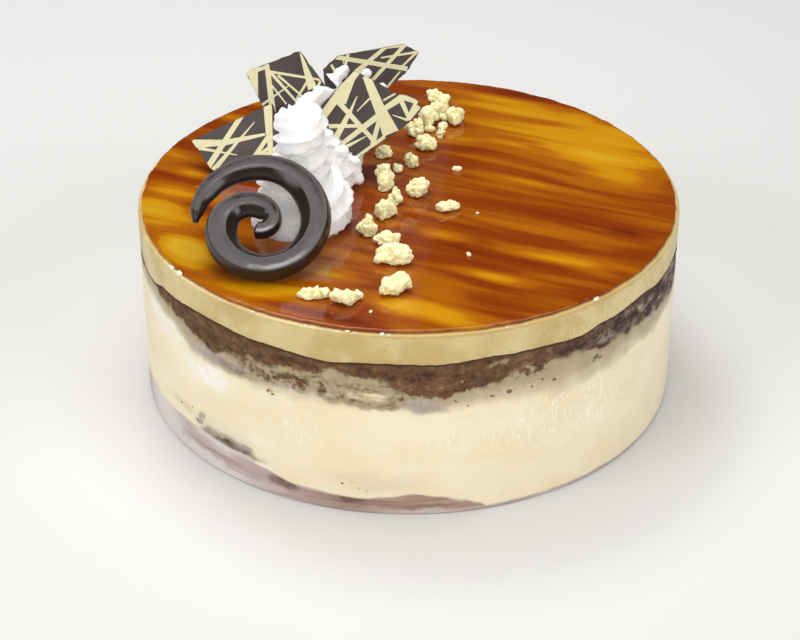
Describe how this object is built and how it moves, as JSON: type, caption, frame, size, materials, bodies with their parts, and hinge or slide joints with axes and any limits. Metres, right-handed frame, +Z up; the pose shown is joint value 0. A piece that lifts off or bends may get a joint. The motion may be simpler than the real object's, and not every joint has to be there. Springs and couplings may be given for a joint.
{
  "type": "caramel cream cake",
  "caption": "Round layered cream cake with chocolate sponge, a caramel glaze, piped cream, chocolate plaques, a chocolate spiral and crumble on top.",
  "frame": {"origin": "centre of the cake's underside", "axes": "+Z up; the pictured side faces -Y, with the piped cream and spiral towards -X"},
  "size_m": [0.2, 0.2, 0.1184],
  "materials": {
    "sponge": "dark, open chocolate sponge crumb",
    "pale_cream": "smooth pale cream with a slight sheen",
    "caramel_cream": "smooth tan cream with a slight sheen",
    "caramel_glaze": "mirror gloss, streaked from golden yellow to dark amber",
    "whipped_cream": "soft white piped cream",
    "chocolate": "satin dark chocolate; the plaques carry pale yellow streaks",
    "crumble": "dry, grainy baked crumble"
  },
  "bodies": {
    "root": {"base_sponge": "sponge", "pale_cream": "pale_cream", "upper_sponge": "sponge", "caramel_cream": "caramel_cream", "caramel_glaze": "caramel_glaze", "whipped_cream": "whipped_cream", "plaque_left": "chocolate", "plaque_back_left": "chocolate", "plaque_right": "chocolate", "plaque_back_right": "chocolate", "chocolate_spiral": "chocolate", "crumble_01": "crumble", "crumble_02": "crumble", "crumble_03": "crumble", "crumble_04": "crumble", "crumble_05": "crumble", "crumble_06": "crumble", "crumble_07": "crumble", "crumble_08": "crumble", "crumble_09": "crumble", "crumble_10": "crumble", "crumble_11": "crumble", "crumble_12": "crumble", "crumble_13": "crumble", "crumble_14": "crumble", "crumble_15": "crumble", "crumble_16": "crumble", "crumble_17": "crumble", "crumble_18": "crumble", "crumble_19": "crumble", "crumble_20": "crumble", "crumble_21": "crumble"}
  },
  "joints": []
}
